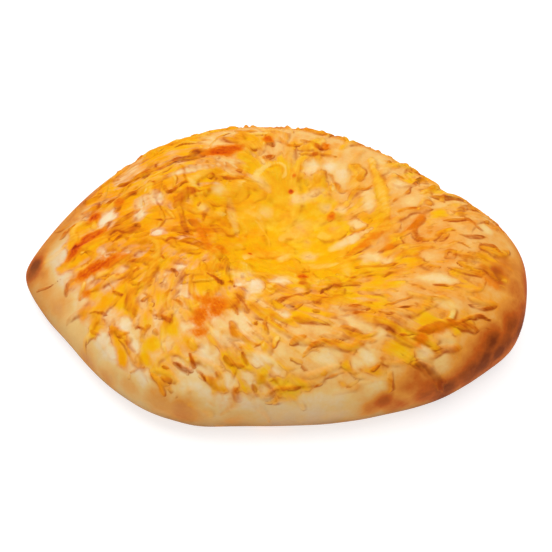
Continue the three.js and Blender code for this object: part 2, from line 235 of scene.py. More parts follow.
BARE_SPOTS = [
    (217, 188, 4, 0.9), (265, 213, 3.5, 0.5), (297, 199, 3, 0.8), (312, 168, 5, 0.9),
    (328, 166, 4.5, 0.9), (342, 176, 4, 0.9), (326, 208, 2.6, 0.6), (341, 210, 3, 0.8),
    (356, 225, 3, 0.8), (241, 276, 5.6, 0.9), (255, 285, 5, 0.9), (282, 280, 4, 0.9),
    (283, 258, 2.6, 0.5), (310, 257, 3.6, 0.6), (319, 286, 4, 0.8), (408, 200, 4, 0.6),
    (397, 184, 4, 0.6), (372, 258, 4.5, 0.9), (386, 262, 3.5, 0.8), (486, 229, 3, 0.7),
    (368, 355, 4, 0.9), (357, 363, 3, 0.7), (381, 336, 3, 0.5), (285, 312, 3.4, 0.6),
    (446, 338, 4.5, 0.7), (426, 352, 4, 0.8), (441, 368, 5, 0.7), (402, 376, 4, 0.6),
    (124, 325, 3.4, 1.0), (100, 341, 4, 0.9), (135, 345, 2.6, 0.6), (205, 358, 4, 0.6),
    (218, 352, 3, 0.4), (262, 360, 4.5, 0.9), (195, 386, 3, 0.9), (182, 392, 3.6, 0.9),
    (202, 401, 5, 0.8), (274, 373, 3.4, 0.7), (140, 381, 5, 0.9), (108, 360, 5, 0.9),
    (107, 218, 4.4, 1.2), (140, 215, 3, 0.6), (157, 232, 3.6, 0.9), (203, 208, 2.4, 0.6),
    (172, 252, 2.6, 0.5), (180, 268, 3, 0.5), (55, 256, 6, 0.9), (66, 275, 5, 0.7), (302, 230, 5, 0.3),
    (213, 366, 4.5, 0.55), (228, 381, 4, 0.6), (252, 377, 4, 0.6), (268, 388, 4, 0.5),
    (222, 398, 4, 0.6), (248, 402, 4.5, 0.7), (300, 290, 3, 0.5),
]
BARE_STREAKS = [
    ([(331, 250), (343, 243), (372, 229)], 2.6, 0.9), ([(368, 193), (370, 212)], 3.2, 0.9),
    ([(418, 277), (436, 278), (456, 281)], 3, 1.0), ([(316, 358), (330, 357), (342, 360)], 3.6, 0.8),
    ([(330, 318), (350, 320), (373, 332)], 2.8, 0.6), ([(362, 378), (380, 387), (372, 396)], 4, 0.8),
    ([(214, 332), (222, 338), (232, 345)], 2.6, 0.4), ([(240, 318), (252, 327)], 3, 0.3),
    ([(150, 190), (162, 203), (172, 208)], 2.6, 0.6), ([(98, 250), (112, 243)], 2.6, 0.7),
    ([(120, 195), (140, 182), (165, 176)], 2.2, 0.5), ([(165, 176), (190, 170), (225, 164)], 2, 0.5),
    ([(248, 175), (260, 181), (269, 191)], 2.2, 0.6), ([(229, 200), (233, 218), (237, 236)], 2.2, 0.5),
    ([(292, 203), (305, 198), (322, 190)], 3, 0.6), ([(436, 300), (460, 304)], 3.4, 0.6),
    ([(300, 400), (330, 398), (350, 392)], 3.4, 0.7),
]
YELLOW_SPOTS = [
    (345, 297, 7, 1.0), (325, 285, 4, 0.7), (375, 291, 6, 0.8), (399, 285, 5, 0.8), (387, 275, 5, 0.7),
    (300, 316, 5, 0.8), (338, 388, 4, 0.7), (420, 314, 5, 0.6), (370, 308, 4, 0.6), (391, 341, 5, 0.25),
    (401, 352, 4, 0.2), (341, 370, 4, 0.6), (110, 300, 5, 0.9), (95, 294, 4, 0.8), (131, 310, 5, 0.7),
    (120, 360, 4, 0.9), (144, 360, 4, 0.9), (106, 325, 4, 0.6), (192, 345, 4, 0.6), (128, 205, 5, 0.7),
    (140, 236, 4, 0.7), (151, 263, 5, 0.8), (130, 263, 4, 0.7), (188, 159, 4, 0.6), (335, 262, 6, 0.7),
    (150, 345, 5, 0.7), (168, 332, 5, 0.6), (116, 335, 4, 0.6), (176, 352, 4, 0.6), (145, 322, 4, 0.6),
]

# Which draw a scattered number is for
DRAW_SWING, DRAW_CURL, DRAW_SWELLING, DRAW_LENGTH, DRAW_WIDTH = 1, 2, 3, 4, 5
DRAW_TONE, DRAW_RELIEF, DRAW_COVER, DRAW_SKIP, DRAW_WOBBLE, DRAW_SOLID, DRAW_WARP = 6, 7, 8, 9, 10, 11, 130

SCATTER_STEP, SCATTER_DRAW, SCATTER_SPREAD = 12.9898, 78.233, 43758.5453


def scatter(index, draw):
    """An even scatter of numbers from 0 to 1, the same on every run."""
    value = np.sin(np.asarray(index, float) * SCATTER_STEP + draw * SCATTER_DRAW) * SCATTER_SPREAD
    return value - np.floor(value)


def between(limits, share):
    return limits[0] + (limits[1] - limits[0]) * share


def ease(low, high, value):
    t = np.clip((np.asarray(value, float) - low) / (high - low), 0, 1)
    return t * t * (3 - 2 * t)


def curve(a, b, c, d, f):
    """A smooth curve from b to c, past a and d."""
    return b + 0.5 * f * (c - a + f * (2 * a - 5 * b + 4 * c - d + f * (3 * (b - c) + d - a)))


def clock(table, bearing):
    """A value at a bearing, from a smooth closed curve through a table of the clock positions."""
    table = np.asarray(table, float)
    at = np.mod(np.asarray(bearing, float) / TURN, 1) * len(table)
    hour = np.floor(at).astype(int)
    a, b, c, d = (table[(hour + step) % len(table)] for step in (-1, 0, 1, 2))
    return curve(a, b, c, d, at - hour)


NOISE_ROW, NOISE_LAYER = 57, 113


def noise(size, draw, x, y, z=0.0):
    """Smooth noise from -0.5 to 0.5, with swellings of a size in millimetres."""
    x, y, z = np.broadcast_arrays(*(np.asarray(v, float) / size for v in (x, y, z)))
    i, j, k = np.floor(x), np.floor(y), np.floor(z)
    u, v, w = ease(0, 1, x - i), ease(0, 1, y - j), ease(0, 1, z - k)
    total = 0
    for a, b, c in np.ndindex(2, 2, 2):
        weight = np.where(a, u, 1 - u) * np.where(b, v, 1 - v) * np.where(c, w, 1 - w)
        at = i + a + NOISE_ROW * (j + b) + NOISE_LAYER * (k + c)
        total = total + weight * (scatter(at, draw) - 0.5)
    return total


def swellings(layers, *place):
    """Noise of more than one size. Each layer has its height, its size in millimetres and its draw."""
    return sum(height * noise(size, draw, *place) for height, size, draw in layers)


# The loaf's surface, by the same rules as its solids

def between_bearings(a, b):
    """The angle between two bearings, at most half a turn."""
    return TURN * np.abs(np.mod((np.asarray(a, float) - b) / TURN + 0.5, 1) - 0.5)


def reach(bearing):
    """Distance from the middle to the widest line of the wall."""
    past_tip = np.hypot(between_bearings(bearing, TIP_BEARING), TIP_ROUND) - TIP_ROUND
    tip = TIP_POINT * np.exp(-past_tip / TIP_SPREAD)
    corner = CORNER_POINT * np.exp(-(between_bearings(bearing, CORNER_BEARING) / CORNER_SPREAD) ** 2)
    return clock(REACH, bearing) * LENGTH / 2 + tip + corner


# One of those millimetres in the frame's metres
loaf_low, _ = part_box("dough")
MM = -loaf_low[0] / float(reach(math.pi))


def share_of_reach(x, y):
    return np.hypot(x, y) / reach(np.arctan2(y, x))


def from_dip(x, y):
    return x - DIP_CENTRE[0], y - DIP_CENTRE[1]


def round_dip(out, bearing):
    """Places by how far out from the middle of the dip they are, and their bearing from it."""
    return DIP_CENTRE[0] + out * np.cos(bearing), DIP_CENTRE[1] + out * np.sin(bearing)


def dip(x, y):
    dx, dy = from_dip(x, y)
    along = dx / np.where(dx < 0, DIP_RADIUS["left"], DIP_RADIUS["right"])
    across = dy / np.where(dy < 0, DIP_RADIUS["near"], DIP_RADIUS["far"])
    return DIP_DEPTH * 2 ** -(np.hypot(along, across) ** DIP_FLATNESS)


def loaf_height(x, y):
    bearing = np.arctan2(y, x)
    share = np.minimum(1, np.hypot(x, y) / reach(bearing))
    middle = clock(WALL_MIDDLE, bearing) * RIM_HEIGHT
    top = (1 + (clock(RIM_TOP, bearing) - 1) * share ** RIM_BLEND) * RIM_HEIGHT
    dome = middle + (top - middle) * np.sqrt(1 - share ** clock(SHOULDER, bearing))
    swelling = LUMP_HEIGHT * noise(LUMP_SIZE, DRAW_SWELLING, x, y) * (1 - share ** LUMP_FADE)
    return dome - dip(x, y) + swelling


BAKED_UNEVENNESS = [(1.1, 9, DRAW_RELIEF), (0.5, 4, DRAW_RELIEF + 20)]
SMOOTH_RIM = (0.8, 0.98)


def dough_height(x, y):
    """The loaf with the small unevenness of its baked surface."""
    fade = 1 - ease(*SMOOTH_RIM, share_of_reach(x, y))
    return loaf_height(x, y) + swellings(BAKED_UNEVENNESS, x, y) * fade


def sheet_reach(bearing):
    large, small = SHEET_EDGE_LOBES
    start, small_start = SHEET_EDGE_STARTS
    wave = np.sin(large * bearing + start) + SMALL_LOBE_SHARE * np.sin(small * bearing + small_start)
    return clock(SHEET_REACH, bearing) + SHEET_EDGE_WAVE * wave


def inside_sheet(x, y):
    """How far inside the edge of the melted sheet a point is."""
    dx, dy = from_dip(x, y)
    return sheet_reach(np.arctan2(dy, dx)) - np.hypot(dx, dy)


# Meshes from arrays of points

def disc_grid(side):
    """An even grid over a disc: for each point its share of the way out and its bearing, then the rim."""
    steps = np.linspace(-1, 1, side)
    a, b = np.meshgrid(steps, steps)
    wide = np.abs(a) >= np.abs(b)
    eighth = math.pi / 4
    known = (a != 0) | (b != 0)
    ratio = np.divide(np.where(wide, b, a), np.where(wide, a, b), out=np.zeros_like(a), where=known)
    sideways = eighth * ratio + math.pi * (a < 0)
    upright = 2 * eighth - eighth * ratio + math.pi * (b < 0)
    bearing = np.where(wide, sideways, upright)
    index = np.arange(side * side).reshape(side, side)
    rim = np.concatenate([index[0, :-1], index[:-1, -1], index[-1, :0:-1], index[:0:-1, 0]])
    quads = np.stack([index[:-1, :-1], index[:-1, 1:], index[1:, 1:], index[1:, :-1]], -1)
    return np.maximum(np.abs(a), np.abs(b)).ravel(), bearing.ravel(), rim, quads.reshape(-1, 4)


def skirt(rim, first, rings):
    """Faces from a rim down through rings of new points, closed by one point at the end."""
    count = len(rim)
    loops = [rim] + [first + ring * count + np.arange(count) for ring in range(rings)]
    quads = []
    for up, low in zip(loops, loops[1:]):
        quads.append(np.stack([up, low, np.roll(low, -1), np.roll(up, -1)], -1))
    last = np.full(count, first + rings * count)
    return np.concatenate(quads), np.stack([loops[-1], last, np.roll(loops[-1], -1)], -1)


class Shape:
    """Points and faces of a closed piece, in millimetres."""

    def __init__(self, points, quads, triangles):
        self.points = points
        self.quads = quads
        self.triangles = triangles

    def faces(self, first=0):
        return (self.quads + first).tolist() + (self.triangles + first).tolist()

    def normals(self):
        a, b, c, d = (self.points[self.quads[:, corner]] for corner in range(4))
        facing = np.cross(c - a, d - b)
        total = np.zeros_like(self.points)
        for corner in range(4):
            np.add.at(total, self.quads[:, corner], facing)
        return total / np.maximum(np.linalg.norm(total, axis=1, keepdims=True), TINY)

    def piece(self, name, layers):
        mesh = bpy.data.meshes.new(name)
        mesh.from_pydata((self.points * MM).tolist(), [], self.faces())
        for layer, values in layers.items():
            attribute = mesh.attributes.new(layer, "FLOAT_VECTOR", "POINT")
            attribute.data.foreach_set("vector", np.asarray(values, np.float32).ravel())
        mesh.shade_smooth()
        mesh.update()
        piece = bpy.data.objects.new(name, mesh)
        bpy.context.scene.collection.objects.link(piece)
        return piece


def tree_of(*shapes):
    """The surfaces of one or more shapes, to find points on."""
    points, faces = [], []
    for shape in shapes:
        faces += shape.faces(len(points))
        points += shape.points.tolist()
    return BVHTree.FromPolygons(points, faces)


# The camera and what it sees

def camera_axes():
    a, e = math.radians(CAMERA_AZIMUTH), math.radians(CAMERA_ELEVATION)
    back = Vector((math.sin(a) * math.cos(e), -math.cos(a) * math.cos(e), math.sin(e)))
    right = Vector((math.cos(a), math.sin(a), 0))
    return back, right, back.cross(right)


def seen_at(tree, pixel):
    """The point of the loaf that shows at a pixel of the photograph, or None."""
    back, right, up = camera_axes()
    eye = Vector(CAMERA_AIM) + back * CAMERA_DISTANCE
    focal = CAMERA_LENS / SENSOR_WIDTH * IMAGE_SIZE
    half = IMAGE_SIZE / 2
    ray = right * (pixel[0] - half) + up * (half - pixel[1]) - back * focal
    return tree.ray_cast(eye, ray.normalized())[0]


def add_camera():
    back, _, _ = camera_axes()
    camera = bpy.data.objects.new("camera", bpy.data.cameras.new("camera"))
    camera.data.lens = CAMERA_LENS
    camera.data.sensor_width = SENSOR_WIDTH
    camera.location = (Vector(CAMERA_AIM) + back * CAMERA_DISTANCE) * MM
    camera.rotation_euler = (-back).to_track_quat("-Z", "Y").to_euler()
    camera.data.clip_start = NEAREST_SEEN * MM
    bpy.context.scene.collection.objects.link(camera)
    bpy.context.scene.camera = camera


# The dough

DOUGH_SIDE = 279
DOUGH_GRADING = 1.6
HIDDEN_SHARE = 0.4
HIDDEN_STEPS = 0.2
UNDER_RINGS = 12
BASE_SHARES = (0.75, 0.5, 0.25)
WALL_UNEVENNESS = [(0.9, 12, DRAW_RELIEF + 40)]


def graded(share):
    """Shares of the way out, set wide where the sheet hides the dough and close by the rim."""
    shown = np.clip((share - HIDDEN_STEPS) / (1 - HIDDEN_STEPS), 0, 1)
    outer = HIDDEN_SHARE + (1 - HIDDEN_SHARE) * (1 - (1 - shown) ** DOUGH_GRADING)
    return np.where(shown > 0, outer, HIDDEN_SHARE / HIDDEN_STEPS * share)


def wall_ring(around, ring):
    """Points round the wall, at one of the steps from its widest line down to the base."""
    turn = math.pi / 2 * ring / UNDER_RINGS
    out = reach(around) - FOOT_INSET * (1 - math.cos(turn))
    z = clock(WALL_MIDDLE, around) * RIM_HEIGHT * (1 - math.sin(turn))
    x, y = out * np.cos(around), out * np.sin(around)
    uneven = swellings(WALL_UNEVENNESS, x, y, z) * math.sin(2 * turn)
    return np.stack([x + uneven * np.cos(around), y + uneven * np.sin(around), z], -1)


def dough_shape():
    """The loaf: a grid over its top, then rings down its wall and in under its flat base."""
    share, bearing, rim, quads = disc_grid(DOUGH_SIDE)
    out = graded(share) * reach(bearing)
    x, y = out * np.cos(bearing), out * np.sin(bearing)
    top = np.stack([x, y, dough_height(x, y)], -1)
    wall = [wall_ring(bearing[rim], ring) for ring in range(1, UNDER_RINGS + 1)]
    base = [wall[-1] * inner for inner in BASE_SHARES]
    points = np.concatenate([top, *wall, *base, np.zeros((1, 3))])
    walls, fan = skirt(rim, len(share), len(wall) + len(base))
    return Shape(points, np.concatenate([quads, walls]), fan)


# The melted cheese

SHEET_SIDE = 261
SHEET_UNDER_SHARES = (1.0, 0.8, 0.6, 0.4, 0.2)
SHEET_ROOTED = 0.6
SHEET_LUMPS = [(1.6, 8, DRAW_COVER), (0.5, 3.5, DRAW_COVER + 20)]
SHEET_RISING = (-2, 10)
SHEET_TUCK = 0.7
SHEET_TUCKED = (0, 7)


def sheet_lift(x, y):
    """Height of the melted cheese over the dough. It falls below the dough at the edge of the sheet."""
    inside = inside_sheet(x, y)
    lumpy = SHEET_PROUD + swellings(SHEET_LUMPS, x, y)
    return lumpy * ease(*SHEET_RISING, inside) - SHEET_TUCK * (1 - ease(*SHEET_TUCKED, inside))


def under_sheet(x, y):
    return np.stack([x, y, loaf_height(x, y) - SHEET_SUNK - SHEET_ROOTED], -1)


def sheet_shape():
    """The sheet: a grid over its top, then rings in under it to the middle of the dip."""
    share, bearing, rim, quads = disc_grid(SHEET_SIDE)
    out = share * sheet_reach(bearing)
    x, y = round_dip(out, bearing)
    top = np.stack([x, y, dough_height(x, y) + sheet_lift(x, y)], -1)
    under = [under_sheet(*round_dip(inner * out[rim], bearing[rim])) for inner in SHEET_UNDER_SHARES]
    middle = under_sheet(*round_dip(np.zeros(1), 0))
    walls, fan = skirt(rim, len(share), len(under))
    return Shape(np.concatenate([top, *under, middle]), np.concatenate([quads, walls]), fan)


# Spots seen in the photograph

STREAK_STEPS = 4
STREAK_TAPER = 0.5
SPOT_WOBBLE = [(0.7, 4, DRAW_WOBBLE), (0.5, 1.8, DRAW_WOBBLE + 20)]
SPOT_FADE = (0.2, 1.4)


def spots_along(streaks):
    """Spots set close together along streaks of pixels, smaller and weaker towards the ends."""
    spots = []
    for pixels, radius, strength in streaks:
        corners = np.arange(len(pixels))
        steps = np.linspace(0, corners[-1], STREAK_STEPS * len(pixels))
        across, down = (np.interp(steps, corners, column) for column in np.transpose(pixels))
        taper = 1 - STREAK_TAPER * np.linspace(-1, 1, len(steps)) ** 2
        spots += list(zip(across, down, radius * taper, strength * taper))
    return spots


class Spots:
    """Soft uneven spots on the loaf, found from the pixels where they show."""

    def __init__(self, tree, spots, ragged):
        self.ragged = ragged
        self.spots = []
        for across, down, radius, strength in spots:
            place = seen_at(tree, (across, down))
            if place is not None:
                self.spots.append((np.array(place), radius, strength))

    def at(self, points):
        total = np.zeros(len(points))
        wobble = self.ragged * swellings(SPOT_WOBBLE, *points.T)
        for place, radius, strength in self.spots:
            away = np.linalg.norm(points - place, axis=1) / radius
            total = np.maximum(total, strength * (1 - ease(*SPOT_FADE, away + wobble)))
        return total


# The shreds of cheese, half melted into the surface

STEP = 1.3
SHRED_SOLID = (0.2, 0.9)
TONE_POWER = 1.2
MELTING_DEPTHS = (0.25, 0.8)
MELT_WIDENS = 0.9
MELT_FLATTENS = 0.65
MELT_PALES = 0.5

# How shreds are strewn
SLOPE_STEPS = 60
KEPT_ANYWHERE = 0.25
KEPT_ON_CHEESE = 0.9
DEEP_POOL = (0.5, 0.9)
POOL_THINNING = 0.75
POOL_STIRRING = 2
STREWN_CURL = 6 * SHRED_CURL
LOW_EDGE = (0.88, 0.97)
LOW_EDGE_FAINTER = 0.7
FAR_EDGE = (0.74, 0.82)
FAR_SIDE = (0.1, 0.5)
FAR_EDGE_RISE = 2.0

# How the shreds traced from the photograph are laid
SEEN_RISE = 0.3
SEEN_RISE_MOST = 0.8
SEEN_SOLID = 0.9
SEEN_UNEVEN = 0.4
CURVE_STEPS = 12
FEWEST_STEPS = 4


class Shred:
    """One shred: the path it lies along, its width, thickness and browning."""

    def __init__(self, path, width, thick, tone, solid, uneven=1.0):
        middle = path[len(path) // 2]
        self.uneven = uneven
        melted = float(ease(*MELTING_DEPTHS, dip(middle[0], middle[1]) / DIP_DEPTH))
        self.path = path
        self.width = width * (1 + MELT_WIDENS * melted)
        self.thick = thick * (1 - MELT_FLATTENS * melted)
        self.tone = tone ** TONE_POWER * (1 - MELT_PALES * melted)
        self.solid = between(SHRED_SOLID, solid)


def walk(tree, x, y, heading, length, curl):
    """Points along a bent path on the surface, either way from its middle."""
    point, normal, _, _ = tree.ray_cast(Vector((x, y, 2 * RIM_HEIGHT)), Vector((0, 0, -1)))
    halves = []
    for way in (-1, 1):
        at, up = point.copy(), normal.copy()
        ahead = way * Vector((math.cos(heading), math.sin(heading), 0))
        half = []
        for _ in range(max(1, round(length / 2 / STEP))):
            ahead = (ahead - up * ahead.dot(up)).normalized()
            ahead = (ahead + up.cross(ahead) * (way * curl * STEP)).normalized()
            at, up, _, _ = tree.find_nearest(at + ahead * STEP)
            half.append(tuple(at))
        halves.append(half)
    return np.array(halves[0][::-1] + [tuple(point)] + halves[1])


def long_shreds(tree):
    """The shreds that the solids have, by the same rule."""
    found = []
    for i in range(LONG_SHREDS):
        bearing = i * GOLDEN_ANGLE
        length = between(LONG_LENGTH, scatter(i, DRAW_LENGTH))
        astray = math.radians(clock(SHRED_TURN, bearing) + SHRED_SWING * (scatter(i, DRAW_SWING) - 0.5))
        furthest = clock(SHRED_EDGE, bearing) * reach(bearing) - length / 2 * abs(math.cos(astray))
        out = math.sqrt((i + 0.5) / LONG_SHREDS) * furthest
        x, y = out * math.cos(bearing), out * math.sin(bearing)
        dx, dy = from_dip(x, y)
        curl = float(SHRED_CURL * 2 * (scatter(i, DRAW_CURL) - 0.5))
        path = walk(tree, x, y, math.atan2(dy, dx) + astray, length, curl)
        width = LONG_WIDTH_LEFT * between(LONG_WIDTH, scatter(i, DRAW_WIDTH))
        tone = LONG_TONE * scatter(i, DRAW_TONE)
        found.append(Shred(path, width, LONG_RISE, tone, LONG_SOLID * scatter(i, DRAW_SOLID)))
    return found


def place_down(bearing, share):
    """The place a share of the way from the middle to the edge of the cheese, measured on the surface."""
    out = np.linspace(0, clock(CHEESE_EDGE, bearing) * reach(bearing), SLOPE_STEPS)
    height = loaf_height(out * math.cos(bearing), out * math.sin(bearing))
    gone = np.concatenate([[0], np.cumsum(np.hypot(np.diff(out), np.diff(height)))])
    at = float(np.interp(share * gone[-1], gone, out))
    return at * math.cos(bearing), at * math.sin(bearing)


def kept_at(x, y):
    """The share of strewn shreds that stay at a place."""
    at = np.array([[x, y, 0]])
    kept = KEPT_ANYWHERE + KEPT_ON_CHEESE * cheese_cover(at)[0]
    return kept - POOL_THINNING * ease(*DEEP_POOL, pool(at)[0])


def strewn_shred(tree, kind, n, x, y):
    """One shred of a kind, lying more or less the way that the shreds lie there."""
    bearing = n * GOLDEN_ANGLE
    stirred = 1 + POOL_STIRRING * dip(x, y) / DIP_DEPTH
    swing = kind.astray * stirred * clock(SHRED_STRAY, bearing) * (scatter(n, DRAW_SWING) - 0.5)
    dx, dy = from_dip(x, y)
    heading = math.atan2(dy, dx) + math.radians(clock(SHRED_TURN, bearing) + swing)
    length = between(kind.lengths, scatter(n, DRAW_LENGTH))
    curl = float(STREWN_CURL * (scatter(n, DRAW_CURL) - 0.5))
    share = math.hypot(x, y) / reach(bearing)
    low = ease(*LOW_EDGE, share)
    far_edge = ease(*FAR_EDGE, share) * ease(*FAR_SIDE, math.sin(bearing))
    return Shred(
        path=walk(tree, x, y, heading, length, curl),
        width=between(kind.widths, scatter(n, DRAW_WIDTH)),
        thick=kind.rise * (1 + FAR_EDGE_RISE * far_edge),
        tone=clock(SHRED_BROWN, bearing) * scatter(n, DRAW_TONE),
        solid=scatter(n, DRAW_SOLID) * (1 - LOW_EDGE_FAINTER * low),
    )


def strewn(tree, kind):
    """Shreds strewn over the loaf, most where the cheese is and few where the dough shows."""
    found = []
    for i in range(kind.count):
        n = kind.first + i
        x, y = place_down(n * GOLDEN_ANGLE, math.sqrt((i + 0.5) / kind.count))
        if scatter(n, DRAW_SKIP) <= kept_at(x, y):
            found.append(strewn_shred(tree, kind, n, x, y))
    return found


def edge_crumbs(tree):
    """Crumbs that roughen the far edge."""
    found = []
    for i in range(EDGE_CRUMBS):
        n = EDGE_CRUMB_FIRST + i
        bearing = math.radians(between(EDGE_CRUMB_BEARINGS, (i + scatter(n, DRAW_SKIP)) / EDGE_CRUMBS))
        out = reach(bearing) * between(EDGE_CRUMB_SHARES, scatter(n, DRAW_SOLID))
        length = between(EDGE_CRUMB_LENGTH, scatter(n, DRAW_LENGTH))
        heading = TURN * scatter(n, DRAW_SWING)
        path = walk(tree, out * math.cos(bearing), out * math.sin(bearing), heading, length, 0)
        width = between(EDGE_CRUMB_WIDTH, scatter(n, DRAW_WIDTH))
        rise = between(EDGE_CRUMB_RISE, scatter(n, DRAW_CURL))
        tone = between(EDGE_CRUMB_TONE, scatter(n, DRAW_TONE))
        found.append(Shred(path, width, rise, tone, EDGE_CRUMB_SOLID))
    return found


def seen_shreds(tree):
    """The shreds that stand out in the photograph."""
    found = []
    for pixels, width, tone in SEEN_SHREDS:
        hits = [seen_at(tree, pixel) for pixel in pixels]
        corners = [np.array(hit) for hit in hits if hit is not None]
        if len(corners) > 1:
            rise = min(SEEN_RISE_MOST, SEEN_RISE * width)
            path = smooth_path(tree, corners)
            found.append(Shred(path, width, rise, tone, SEEN_SOLID, SEEN_UNEVEN))
    return found


def smooth_path(tree, corners):
    """A smooth path on the surface through a few points, with even steps."""
    corners = [2 * corners[0] - corners[1], *corners, 2 * corners[-1] - corners[-2]]
    points = []
    for a, b, c, d in zip(corners, corners[1:], corners[2:], corners[3:]):
        for f in np.linspace(0, 1, CURVE_STEPS, endpoint=False):
            points.append(curve(a, b, c, d, f))
    points = np.array(points + [corners[-2]])
    along = np.concatenate([[0], np.cumsum(np.linalg.norm(np.diff(points, axis=0), axis=1))])
    steps = np.linspace(0, along[-1], max(FEWEST_STEPS, round(along[-1] / STEP) + 1))
    even = np.stack([np.interp(steps, along, column) for column in points.T], -1)
    return np.array([tuple(tree.find_nearest(Vector(point))[0]) for point in even])


def beside_path(points, path):
    """Where points are from the nearest place on a path, and how far along it that is, from 0 to 1."""
    start, step = path[:-1], np.diff(path, axis=0)
    offset = points[:, None] - start[None]
    t = np.clip((offset * step).sum(-1) / np.maximum((step * step).sum(-1), TINY), 0, 1)
    offset = offset - t[..., None] * step
    nearest = (offset ** 2).sum(-1).argmin(1)
    rows = np.arange(len(points))
    return offset[rows, nearest], (nearest + t[rows, nearest]) / len(step)


# How a shred shapes and tints what it lies on
MELTED_WARP = [(2.4, 6, DRAW_WARP), (0.9, 2.6, DRAW_WARP + 10)]
FAR_AWAY = 2.5
# The side away from the lamps: shreds get painted shade on this side, at their rims and in darker lines
SHADED_SIDE = np.array([0.5, -0.8, -0.3])
END_ROUNDING = 2.5
END_LEAST = 0.02
WIDTH_WAVE, WIDTH_WAVE_SIZE, WIDTH_WAVE_ROW = 0.5, 0.3, 31.0
CROWN_POWER = 1.5
OVERLAP_RISE = 0.35
OVERLAP_FADE = (0.4, 1.0)
TONE_SLOPE = 0.8
TONE_WAVE, TONE_WAVE_SIZE, TONE_WAVE_ROW = 0.5, 0.4, 17.0
# Rims of shreds darken: browned all round, with painted shade added on the shaded side
RIM_BROWNING_AND_SHADE = 0.35
RIM_WIDTH = (0.3, 1.0)
RIM_LIT, RIM_SHADED = 0.4, 0.6
SOLID_FADE = (0.35, 1.3)
PLAIN_TONE = 0.4
TONE_LIMITS = (-0.2, 1.2)
CRISP_PALE, CRISP_BROWN = 0.3, 0.7

# How much a bare spot takes from the shreds
BARE_COVER = 0.85
BARE_RISE = 0.6
BARE_EDGES = 0.7


def warped(points):
    """Points moved a little this way and that, so that what is laid by them has melted outlines."""
    moved = points
    for height, size, draw in MELTED_WARP:
        shift = [noise(size, draw + axis, *points.T) for axis in range(3)]
        moved = moved + height * np.stack(shift, -1)
    return moved


def browning(shred, number, along, apart, shaded):
    """How brown a shred is, unevenly along it, and darker at its rim: browned all round, with painted shade
    added on the side away from the light.
    """
    slope = scatter(number, DRAW_SKIP) - 0.5
    wave = TONE_WAVE * noise(TONE_WAVE_SIZE, DRAW_TONE, along, TONE_WAVE_ROW * number)
    uneven = TONE_SLOPE * slope * (2 * along - 1) + wave
    rim = RIM_BROWNING_AND_SHADE * ease(*RIM_WIDTH, apart) * (RIM_LIT + RIM_SHADED * shaded)
    return shred.tone + shred.uneven * uneven + rim


class Relief:
    """What the shreds do to a surface: how far it rises, how much of it they cover and how brown
    they are, with painted shade at their rims on the side away from the light, and for the nearest
    one how far a point is from its middle, as a share of half its width, and on which side."""

    def __init__(self, points, shreds):
        count = len(points)
        self.rise = np.zeros(count)
        self.cover = np.zeros(count)
        self.tone = np.full(count, PLAIN_TONE)
        self.apart = np.full(count, FAR_AWAY)
        self.shaded = np.zeros(count)
        self.crisp = np.zeros(count)
        places = warped(points)
        for number, shred in enumerate(shreds):
            self.lay(places, shred, number)

    def lay(self, places, shred, number):
        margin = FAR_AWAY * shred.width / 2
        inside = (places > shred.path.min(0) - margin) & (places < shred.path.max(0) + margin)
        near = np.flatnonzero(inside.all(1))
        if len(near) == 0:
            return
        offset, along = beside_path(places[near], shred.path)
        ends = np.sqrt(np.maximum(END_LEAST, 1 - np.abs(2 * along - 1) ** END_ROUNDING))
        wavy = 1 + WIDTH_WAVE * noise(WIDTH_WAVE_SIZE, DRAW_WOBBLE, along, WIDTH_WAVE_ROW * number)
        half = shred.width / 2 * ends * wavy
        apart = np.linalg.norm(offset, axis=1) / half
        shaded = np.clip((offset @ SHADED_SIDE) / half, -1, 1)
        self.lift(near, apart, shred.thick * ends)
        self.tint(near, apart, browning(shred, number, along, apart, shaded), shred.solid)
        self.mark(near, apart, shaded, shred.solid * (CRISP_PALE + CRISP_BROWN * shred.tone))

    def lift(self, near, apart, thick):
        """A rounded crown, higher where it lies over another shred."""
        rise = thick * np.clip(1 - apart ** 2, 0, 1) ** CROWN_POWER
        under = OVERLAP_RISE * self.rise[near] * (1 - ease(*OVERLAP_FADE, apart))
        self.rise[near] = np.maximum(self.rise[near], rise + under)

    def tint(self, near, apart, tone, solid):
        """The shred's browning over what is under it, fainter towards its sides."""
        cover = solid * (1 - ease(*SOLID_FADE, apart))
        self.tone[near] += (tone - self.tone[near]) * cover
        self.cover[near] += (1 - self.cover[near]) * cover

    def mark(self, near, apart, shaded, crisp):
        """Where the shred's sides are, unless another shred is nearer."""
        nearer = apart < self.apart[near]
        self.apart[near[nearer]] = apart[nearer]
        self.shaded[near[nearer]] = shaded[nearer]
        self.crisp[near[nearer]] = crisp

    def thin(self, bare):
        """Fewer and lower shreds where the surface is bare."""
        self.cover *= 1 - BARE_COVER * bare
        self.rise *= 1 - BARE_RISE * bare
        self.crisp *= 1 - bare
        self.apart += (FAR_AWAY - self.apart) * BARE_EDGES * bare

    def layers(self):
        return {
            "shred": np.stack([self.cover, np.clip(self.tone, *TONE_LIMITS), self.crisp], -1),
            "edge": np.stack([self.apart, self.shaded, np.zeros_like(self.apart)], -1),
        }


# What the surface is made of, from point to point

